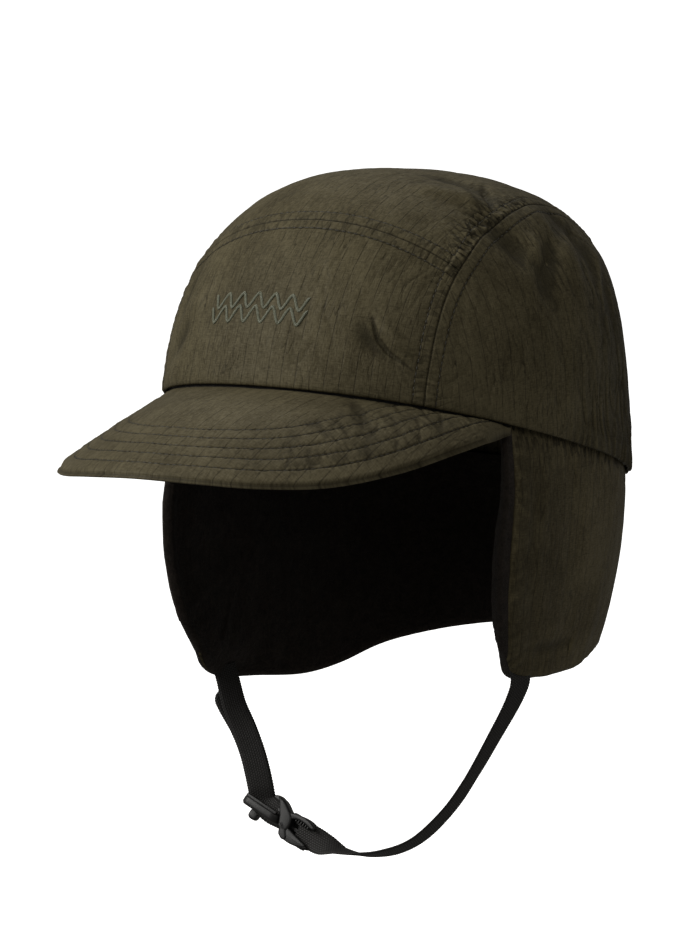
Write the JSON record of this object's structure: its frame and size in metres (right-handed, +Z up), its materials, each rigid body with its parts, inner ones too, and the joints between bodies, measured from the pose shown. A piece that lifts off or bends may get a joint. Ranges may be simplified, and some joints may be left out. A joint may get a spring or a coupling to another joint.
{
  "type": "earflap duckbill cap",
  "caption": "Soft crown cap with a short stitched duckbill visor, fleece-lined ear flaps and neck, and a buckled chin strap",
  "frame": {"origin": "centre of the head opening, at the height of its rim over the ears, where the cap sits on a head", "axes": "+X to the wearer's left, -Y out of the front along the visor, +Z up"},
  "size_m": [0.164, 0.271, 0.266],
  "materials": {
    "shell_cloth": "crinkled ripstop nylon, dull sheen",
    "visor_cloth": "stitched ripstop nylon over a stiffener",
    "fleece": "short matted pile",
    "sweatband_tape": "plain woven tape",
    "webbing": "ribbed woven webbing",
    "buckle_plastic": "moulded, satin"
  },
  "bodies": {
    "root": {"front_panel": "shell_cloth", "top_panel": "shell_cloth", "back_panel": "shell_cloth", "side_panel_left": "shell_cloth", "side_panel_right": "shell_cloth", "visor": "visor_cloth", "sweatband": "sweatband_tape", "flap_shell": "shell_cloth", "flap_lining": "fleece", "chin_strap_left": "webbing", "chin_strap_right": "webbing", "strap_free_end": "webbing", "buckle_socket": "buckle_plastic", "buckle_insert": "buckle_plastic"}
  },
  "joints": []
}
